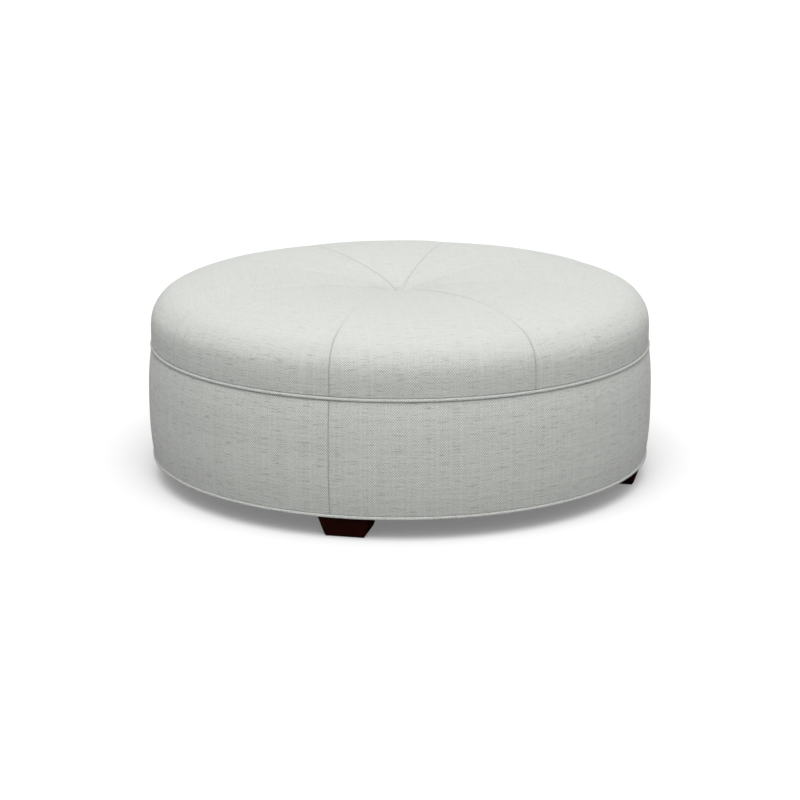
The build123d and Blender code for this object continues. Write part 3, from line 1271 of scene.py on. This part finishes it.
class BasketWeave(Effect):
    """Two-by-two basket weave in heathered linen-look yarn, with slubs along the weft."""

    title = "Basket weave"
    inputs = (("Cell across", 0.0024), ("Cell along", 0.0028), ("Slub", 1.0))
    outputs = ("Tone", "Heather", "Height")
    # How many times each noise is stretched across the cloth, along it and upwards.
    sway_scale = (38.0, 38.0, 1.0)
    slub_scale = (34.0, 520.0, 1.0)
    light_scale = (520.0, 60.0, 1.0)
    patch_scale = (300.0, 420.0, 1.0)
    heather_scale = (70.0, 90.0, 1.0)
    # Where each of them starts to show, and where it shows in full.
    slub_range = (0.56, 0.74)
    light_range = (0.60, 0.76)
    heather_range = (0.35, 0.65)
    # How far the yarns sway, in cells, and the share of a yarn's height that its dome makes.
    sway = 0.9
    dome = 0.6
    roundness = 0.6
    # What each cause adds to the tone or takes from it.
    turned_tone, raised_tone, own_tone, patch_tone, base_tone = 0.46, 0.30, 0.22, 0.8, 0.37
    slub_shade, slub_light, slub_lift = 0.62, 0.12, 0.3

    def draw(self, bench: Bench, entry: Node) -> tuple[Socket, ...]:
        """Each cell shows two yarns side by side, across or along by turns, domed at its ends.

        Args:
            bench: the group's bench.
            entry: its input node.

        Returns:
            The tone, the heather's mask and the height.
        """
        vector, slub = entry.outputs["Vector"], entry.outputs["Slub"]
        first, second, _ = bench.parts(vector)
        sway = bench.noise(vector, self.sway_scale, 1.0)
        across = bench.maths("DIVIDE", first, entry.outputs["Cell across"])
        along = bench.maths("DIVIDE", second, entry.outputs["Cell along"])
        across = bench.line(sway, self.sway, across)
        along = bench.line(sway, -self.sway, along)
        cell = bench.maths("ADD", bench.maths("FLOOR", across), bench.maths("FLOOR", along))
        turn = bench.maths("FLOORED_MODULO", cell, 2.0)
        domes, ridges, yarns = [], [], []
        for place in (across, along):
            share = bench.maths("FRACT", place)
            domes.append(bench.maths("SINE", bench.times(share, math.pi)))
            wave = bench.maths("ABSOLUTE", bench.maths("SINE", bench.times(share, 2 * math.pi)))
            ridges.append(bench.maths("POWER", wave, self.roundness))
            yarn = bench.add("ShaderNodeTexWhiteNoise", noise_dimensions="1D")
            bench.feed(yarn.inputs["W"], bench.maths("FLOOR", bench.times(place, 2.0)))
            yarns.append(yarn.outputs["Value"])
        warp, weft = (
            bench.times(ridge, bench.line(dome, self.dome, 1 - self.dome))
            for ridge, dome in zip(ridges, domes[::-1])
        )
        height = bench.mix(turn, weft, warp)
        own = bench.mix(turn, yarns[1], yarns[0])
        dark = bench.ramp(bench.noise(vector, self.slub_scale, 2.0), *self.slub_range)
        light = bench.ramp(bench.noise(vector, self.light_scale, 2.0), *self.light_range)
        patch = bench.noise(vector, self.patch_scale, 2.0, 0.6)
        tone = bench.line(turn, self.turned_tone, bench.times(height, self.raised_tone))
        tone = bench.line(own, self.own_tone, tone)
        tone = bench.line(patch, self.patch_tone, bench.maths("SUBTRACT", tone, self.base_tone))
        shade = bench.times(dark, bench.times(slub, self.slub_shade))
        tone = bench.maths("SUBTRACT", tone, shade)
        tone = bench.line(bench.times(light, slub), self.slub_light, tone)
        heather = bench.noise(vector, self.heather_scale, 2.0, 0.7)
        heather = bench.ramp(heather, *self.heather_range)
        return tone, heather, bench.line(dark, bench.times(slub, self.slub_lift), height)


class SeamPucker(Effect):
    """The small puckers that a seam's stitches pull beside it."""

    title = "Seam pucker"
    inputs = (("Stitch", 0.0042), ("Reach", 0.009))
    outputs = ("Height",)
    loose_scale = (30.0, 90.0, 1.0)

    def draw(self, bench: Bench, entry: Node) -> tuple[Socket, ...]:
        """A sine of the place along the seam, which fades with the distance from it.

        Args:
            bench: the group's bench.
            entry: its input node, whose vector holds that distance and that place.

        Returns:
            The height.
        """
        away, place, _ = bench.parts(entry.outputs["Vector"])
        fade = bench.maths("SUBTRACT", 1.0, bench.ramp(away, 0.0, entry.outputs["Reach"]))
        stitch = bench.maths("DIVIDE", place, entry.outputs["Stitch"])
        wave = bench.maths("SINE", bench.times(stitch, 2 * math.pi))
        loose = bench.noise(entry.outputs["Vector"], self.loose_scale, 1.0)
        return (bench.times(bench.times(fade, wave), loose),)


class WoodFigure(Effect):
    """Growth rings and pores that run along the first axis of the coordinates."""

    title = "Wood figure"
    inputs = (("Rings", 260.0),)
    bend_scale = (5.0, 22.0, 22.0)
    pore_scale = (90.0, 1500.0, 1500.0)
    pore_range = (0.58, 0.72)
    slant, bend = 0.35, 16.0
    ring_share, relief = 0.7, 0.3

    def draw(self, bench: Bench, entry: Node) -> tuple[Socket, ...]:
        """Bands of growth bent by slow noise, with fine dark pores stretched along the grain.

        Args:
            bench: the group's bench.
            entry: its input node.

        Returns:
            The mask of late growth and the height.
        """
        vector = entry.outputs["Vector"]
        bend = bench.noise(vector, self.bend_scale, 3.0)
        _, second, third = bench.parts(vector)
        place = bench.maths("ADD", second, bench.times(third, self.slant))
        turn = bench.line(place, entry.outputs["Rings"], bench.times(bend, self.bend))
        ring = bench.line(bench.maths("SINE", turn), 0.5, 0.5)
        pore = bench.ramp(bench.noise(vector, self.pore_scale, 1.0), *self.pore_range)
        mask = bench.line(ring, self.ring_share, bench.times(bend, 1 - self.ring_share))
        return mask, bench.maths("SUBTRACT", bench.times(ring, self.relief), pore)


class Fleck(Effect):
    """Cells or short fibres of one size, with slower patches over them."""

    title = "Fleck"
    inputs = (("Fineness", 900.0),)
    patch_scale = (24.0, 24.0, 24.0)
    cell_share, patch_share = 0.5, 0.7

    def draw(self, bench: Bench, entry: Node) -> tuple[Socket, ...]:
        """Voronoi cells give the height, and noise over them gives the patches.

        Args:
            bench: the group's bench.
            entry: its input node.

        Returns:
            The mask and the height.
        """
        vector = entry.outputs["Vector"]
        cells = bench.add("ShaderNodeTexVoronoi")
        bench.fill(cells, {"Vector": vector, "Scale": entry.outputs["Fineness"]})
        patch = bench.noise(vector, self.patch_scale, 4.0, 0.6)
        depth = cells.outputs["Distance"]
        return bench.line(depth, self.cell_share, bench.times(patch, self.patch_share)), depth


@dataclass(frozen=True)
class Effects:
    """The shared groups, built once."""

    weave: BasketWeave = field(default_factory=BasketWeave)
    pucker: SeamPucker = field(default_factory=SeamPucker)
    wood: WoodFigure = field(default_factory=WoodFigure)
    fleck: Fleck = field(default_factory=Fleck)


def new_material(name: str) -> tuple[Material, Bench, Node]:
    """A material with a bench on its tree and its shader.

    Args:
        name: the material's name.

    Returns:
        The material, the bench and the Principled BSDF.
    """
    material = bpy.data.materials.new(name)
    material.use_nodes = True
    bench = Bench(material.node_tree)
    return material, bench, material.node_tree.nodes["Principled BSDF"]


@dataclass(frozen=True)
class CoverCloth:
    """The cover: heathered linen-look basket weave, with painted shade at its seams and painted
    light on its top.
    """

    name: str = "cover_cloth"
    turn: float = 0.0
    dark: Colour = (0.270, 0.282, 0.267)
    light: Colour = (0.780, 0.796, 0.762)
    warm: Colour = (0.545, 0.540, 0.514)
    warmth: float = 0.16
    bump: float = 0.55
    depth: float = 0.0005
    pucker: float = 0.5
    pucker_depth: float = 0.0006
    # Painted light: where the cloth faces up, its weave's tone is drawn towards one even tone, as
    # if strong light washed it out.
    even_tone: float = 0.47
    top_contrast: float = 0.42
    painted_washout: tuple[float, float] = (0.25, 0.85)
    roughness: float = 0.95
    smoother_yarn: float = 0.08
    gloss: float = 0.25
    sheen: float = 0.12
    sheen_roughness: float = 0.55
    sewn: bool = True

    def material(self, effects: Effects) -> Material:
        """Builds the material from the shared groups.

        Args:
            effects: the shared groups.

        Returns:
            The material.
        """
        material, bench, shader = new_material(self.name)
        place = bench.add("ShaderNodeUVMap", uv_map="weave").outputs[0]
        if self.turn:
            turned = bench.add("ShaderNodeMapping")
            bench.fill(turned, {"Vector": place, "Rotation": (0.0, 0.0, self.turn)})
            place = turned.outputs[0]
        weave = effects.weave.place(bench, place)
        # Painted light: the weave washed out towards an even tone on faces that look up.
        upward = bench.parts(bench.add("ShaderNodeTexCoord").outputs["Normal"])[2]
        contrast = bench.mix(bench.ramp(upward, *self.painted_washout), 1.0, self.top_contrast)
        tone = bench.mix(contrast, self.even_tone, weave.outputs["Tone"])
        colour = bench.blend(tone, self.dark, self.light)
        tint = bench.times(weave.outputs["Heather"], self.warmth)
        colour = bench.blend(tint, colour, self.warm)
        fold = None
        if self.sewn:
            # Painted shade: along the seams, in the hollow and on the tuft the colour is mixed
            # towards the dark yarn's.
            painted_shade = bench.add("ShaderNodeAttribute", attribute_name="painted_shade")
            colour = bench.blend(painted_shade.outputs["Fac"], colour, self.dark)
            seam = bench.add("ShaderNodeUVMap", uv_map="seam").outputs[0]
            pucker = effects.pucker.place(bench, seam)
            fold = bench.bump(pucker.outputs["Height"], self.pucker, self.pucker_depth)
        height = weave.outputs["Height"]
        bench.fill(shader, {
            "Base Color": colour,
            "Normal": bench.bump(height, self.bump, self.depth, fold),
            "Roughness": bench.line(height, -self.smoother_yarn, self.roughness),
            "Specular IOR Level": self.gloss,
            "Sheen Weight": self.sheen,
            "Sheen Roughness": self.sheen_roughness,
        })
        return material


@dataclass(frozen=True)
class Wood:
    """Wood of any kind here: its two colours, its figure and its finish."""

    name: str
    dark: Colour
    light: Colour
    rings: float
    roughness: float
    gloss: float = 0.5
    bump: float = 0.3
    depth: float = 0.0003
    fineness: float = 700.0
    fleck_share: float = 0.3
    growth_share: float = 0.8
    rougher_growth: float = 0.12

    def material(self, effects: Effects) -> Material:
        """Builds the material from the shared groups.

        Args:
            effects: the shared groups.

        Returns:
            The material.
        """
        material, bench, shader = new_material(self.name)
        place = bench.add("ShaderNodeTexCoord").outputs["Object"]
        figure = effects.wood.place(bench, place, Rings=self.rings)
        fleck = effects.fleck.place(bench, place, Fineness=self.fineness)
        growth = figure.outputs["Mask"]
        share = bench.times(growth, self.growth_share)
        share = bench.line(fleck.outputs["Mask"], self.fleck_share, share)
        bench.fill(shader, {
            "Base Color": bench.blend(share, self.dark, self.light),
            "Roughness": bench.line(growth, self.rougher_growth, self.roughness),
            "Normal": bench.bump(figure.outputs["Height"], self.bump, self.depth),
            "Specular IOR Level": self.gloss,
        })
        return material


@dataclass(frozen=True)
class Grainy:
    """Foam, felt, fleece, twine or plated steel: one colour range over cells or fibres."""

    name: str
    dark: Colour
    light: Colour
    fineness: float
    roughness: float = 0.9
    metallic: float = 0.0
    bump: float = 0.5
    depth: float = 0.0004
    rougher_fleck: float = 0.15
    smoother_ground: float = 0.1

    def material(self, effects: Effects) -> Material:
        """Builds the material from the shared groups.

        Args:
            effects: the shared groups.

        Returns:
            The material.
        """
        material, bench, shader = new_material(self.name)
        place = bench.add("ShaderNodeTexCoord").outputs["Object"]
        fleck = effects.fleck.place(bench, place, Fineness=self.fineness)
        mask = fleck.outputs["Mask"]
        bench.fill(shader, {
            "Base Color": bench.blend(mask, self.dark, self.light),
            "Roughness": bench.line(
                mask, self.rougher_fleck, self.roughness - self.smoother_ground
            ),
            "Normal": bench.bump(fleck.outputs["Height"], self.bump, self.depth),
            "Metallic": self.metallic,
        })
        return material


class Palette:
    """Every material of the ottoman, built from the shared groups."""

    finishes = {
        Slot.COVER: CoverCloth(),
        Slot.FOOT: Wood(
            "espresso_wood", (0.0072, 0.0009, 0.0003), (0.0250, 0.0026, 0.0007), 420.0, 0.45,
            gloss=0.05, bump=0.08,
        ),
        Slot.PLYWOOD: Wood("plywood", (0.42, 0.27, 0.14), (0.62, 0.45, 0.27), 180.0, 0.65),
        Slot.PINE: Wood("pine", (0.50, 0.33, 0.16), (0.72, 0.55, 0.34), 320.0, 0.7),
        Slot.BOARD: Grainy("hardboard", (0.12, 0.07, 0.035), (0.22, 0.14, 0.08), 1400.0, 0.75),
        Slot.FOAM: Grainy("foam", (0.55, 0.48, 0.28), (0.78, 0.72, 0.50), 1100.0, 0.95),
        Slot.STEEL: Grainy(
            "zinc", (0.46, 0.46, 0.44), (0.66, 0.66, 0.63), 500.0, 0.42, metallic=1.0, bump=0.1
        ),
        Slot.FELT: Grainy("felt", (0.008, 0.007, 0.006), (0.028, 0.024, 0.020), 2600.0, 0.98),
        Slot.TWINE: Grainy("twine", (0.42, 0.38, 0.28), (0.66, 0.62, 0.52), 2200.0, 0.8),
        Slot.DUST: Grainy(
            "dust_fleece", (0.012, 0.012, 0.013), (0.048, 0.048, 0.050), 650.0, 0.85, bump=0.6
        ),
    }
    # The cover's weave on the bias, with darker colours: painted shade that tones the welts down.
    piping_finish = CoverCloth(
        "piping_cloth", math.radians(45), (0.232, 0.243, 0.230), (0.671, 0.685, 0.655), sewn=False
    )

    def __init__(self) -> None:
        """Builds the groups and the materials."""
        effects = Effects()
        self.slots = {slot: finish.material(effects) for slot, finish in self.finishes.items()}
        self.piping = self.piping_finish.material(effects)

    def dress_parts(self) -> None:
        """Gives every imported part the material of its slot."""
        slots = {part["node"]: Slot(part["material_slot"]) for part in frame["record"]["subparts"]}
        for name, part in frame["nodes"].items():
            part.data.materials.clear()
            part.data.materials.append(self.slots[slots[name]])


# Studio


@dataclass(frozen=True)
class Lamp:
    """One wide, soft lamp, far away. Its angles are in degrees."""

    name: str
    side: float  # where it hangs round the object, from the camera's direction to the right
    lean: float  # how far it leans from overhead
    width: float  # how wide it looks from the object
    energy: float  # its light, in watts for each square metre

    def hang(self, azimuth: float) -> None:
        """Hangs the lamp.

        Args:
            azimuth: the camera's direction from the object, in radians.
        """
        data = bpy.data.lights.new(self.name, "SUN")
        data.energy = self.energy
        data.angle = math.radians(self.width)
        lamp = bpy.data.objects.new(self.name, data)
        lean, turn = math.radians(self.lean), azimuth + math.radians(self.side)
        flat = math.sin(lean)
        toward = Vector((math.sin(turn) * flat, -math.cos(turn) * flat, math.cos(lean)))
        lamp.rotation_mode = "QUATERNION"
        lamp.rotation_quaternion = toward.to_track_quat("Z", "Y")
        bpy.context.scene.collection.objects.link(lamp)

    def on_floor(self) -> float:
        """The light that reaches an open, level floor: energy times the lean's cosine, over pi."""
        return self.energy * math.cos(math.radians(self.lean)) / math.pi


@dataclass(frozen=True)
class Studio:
    """The white floor, the soft light and the camera."""

    azimuth: float = math.radians(12.32)
    elevation: float = math.radians(14.83)
    distance: float = 4.935
    target: tuple[float, float, float] = (0.0, 0.0, 0.1448)
    lens: float = 103.7
    sensor: float = 36.0
    clip_end: float = 200.0
    sky: float = 0.57
    lamps: tuple[Lamp, ...] = (
        Lamp("overhead_lamp", 0.0, 20.0, 48.0, 2.17),
        Lamp("front_lamp", 0.0, 42.0, 40.0, 0.74),
        Lamp("right_lamp", 90.0, 75.0, 60.0, 0.20),
    )
    bounce: float = 0.20
    shadow_glow: float = 0.19
    open_floor: float = 1.08
    floor_half: float = 40.0
    speck_scale: float = 3.0
    speck_shade: float = 0.99

    def camera(self) -> None:
        """Sets the camera where the photograph was taken from."""
        data = bpy.data.cameras.new("camera")
        data.lens = self.lens
        data.sensor_width = self.sensor
        data.clip_end = self.clip_end
        camera = bpy.data.objects.new("camera", data)
        flat = math.cos(self.elevation)
        across, along = math.sin(self.azimuth) * flat, -math.cos(self.azimuth) * flat
        back = Vector((across, along, math.sin(self.elevation)))
        camera.location = Vector(self.target) + back * self.distance
        camera.rotation_mode = "QUATERNION"
        camera.rotation_quaternion = (-back).to_track_quat("-Z", "Y")
        bpy.context.scene.collection.objects.link(camera)
        bpy.context.scene.camera = camera

    def floor(self) -> None:
        """Lays a white floor, which sends less light up than it shows, and is clear from below.

        Formula: the floor's colour times its light, plus the glow, comes to just above white where
        nothing shades it. Its light is the sky's and each lamp's.
        """
        half = self.floor_half
        corners = [(-half, -half, 0.0), (half, -half, 0.0), (half, half, 0.0), (-half, half, 0.0)]
        floor = make_piece("studio_floor", np.array(corners), [[0, 1, 2, 3]])
        material, bench, shader = new_material("studio_white")
        ray = bench.add("ShaderNodeLightPath").outputs["Is Camera Ray"]
        place = bench.add("ShaderNodeTexCoord").outputs["Object"]
        speck = bench.noise(place, (self.speck_scale,) * 3, 2.0)
        light = self.sky + sum(lamp.on_floor() for lamp in self.lamps)
        lit = (self.open_floor - self.shadow_glow) / light
        seen = bench.blend(speck, (lit * self.speck_shade,) * 3, (lit,) * 3)
        below = bench.add("ShaderNodeNewGeometry").outputs["Backfacing"]
        bench.fill(shader, {
            "Base Color": bench.blend(ray, (self.bounce,) * 3, seen),
            "Roughness": 1.0,
            "Specular IOR Level": 0.0,
            "Emission Color": (1.0, 1.0, 1.0, 1.0),
            "Emission Strength": bench.times(ray, self.shadow_glow),
            "Alpha": bench.maths("SUBTRACT", 1.0, below),
        })
        floor.data.materials.append(material)

    def light(self) -> None:
        """Lights the scene with an even sky, which the camera sees as white, and the lamps."""
        world = bpy.data.worlds.new("studio_sky")
        world.use_nodes = True
        bpy.context.scene.world = world
        bench = Bench(world.node_tree)
        ray = bench.add("ShaderNodeLightPath").outputs["Is Camera Ray"]
        strength = bench.mix(ray, self.sky, 1.0)
        background = world.node_tree.nodes["Background"]
        bench.fill(background, {"Color": (1.0, 1.0, 1.0, 1.0), "Strength": strength})
        for lamp in self.lamps:
            lamp.hang(self.azimuth)

    def build(self) -> None:
        """Sets up floor, light, camera and plain colour handling."""
        self.floor()
        self.light()
        self.camera()
        bpy.context.scene.view_settings.view_transform = "Standard"


def main() -> None:
    """Builds every sub-assembly in order."""
    logging.basicConfig(level=logging.INFO, format="%(name)s: %(message)s")
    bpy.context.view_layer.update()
    palette = Palette()
    palette.dress_parts()
    cover = palette.slots[Slot.COVER]
    Crown(cover).build()
    Band(cover).build()
    Piping("top_piping", "top_welt", 0.2807, palette.piping, 7).build()
    Piping("bottom_piping", "bottom_welt", 0.0452, palette.piping, 8).build()
    Tuft(cover).build()
    Feet(palette.slots[Slot.FOOT]).build()
    Underside(palette.slots[Slot.DUST], palette.slots[Slot.STEEL]).build()
    Studio().build()
    bpy.context.view_layer.update()


if __name__ == "__main__":
    main()
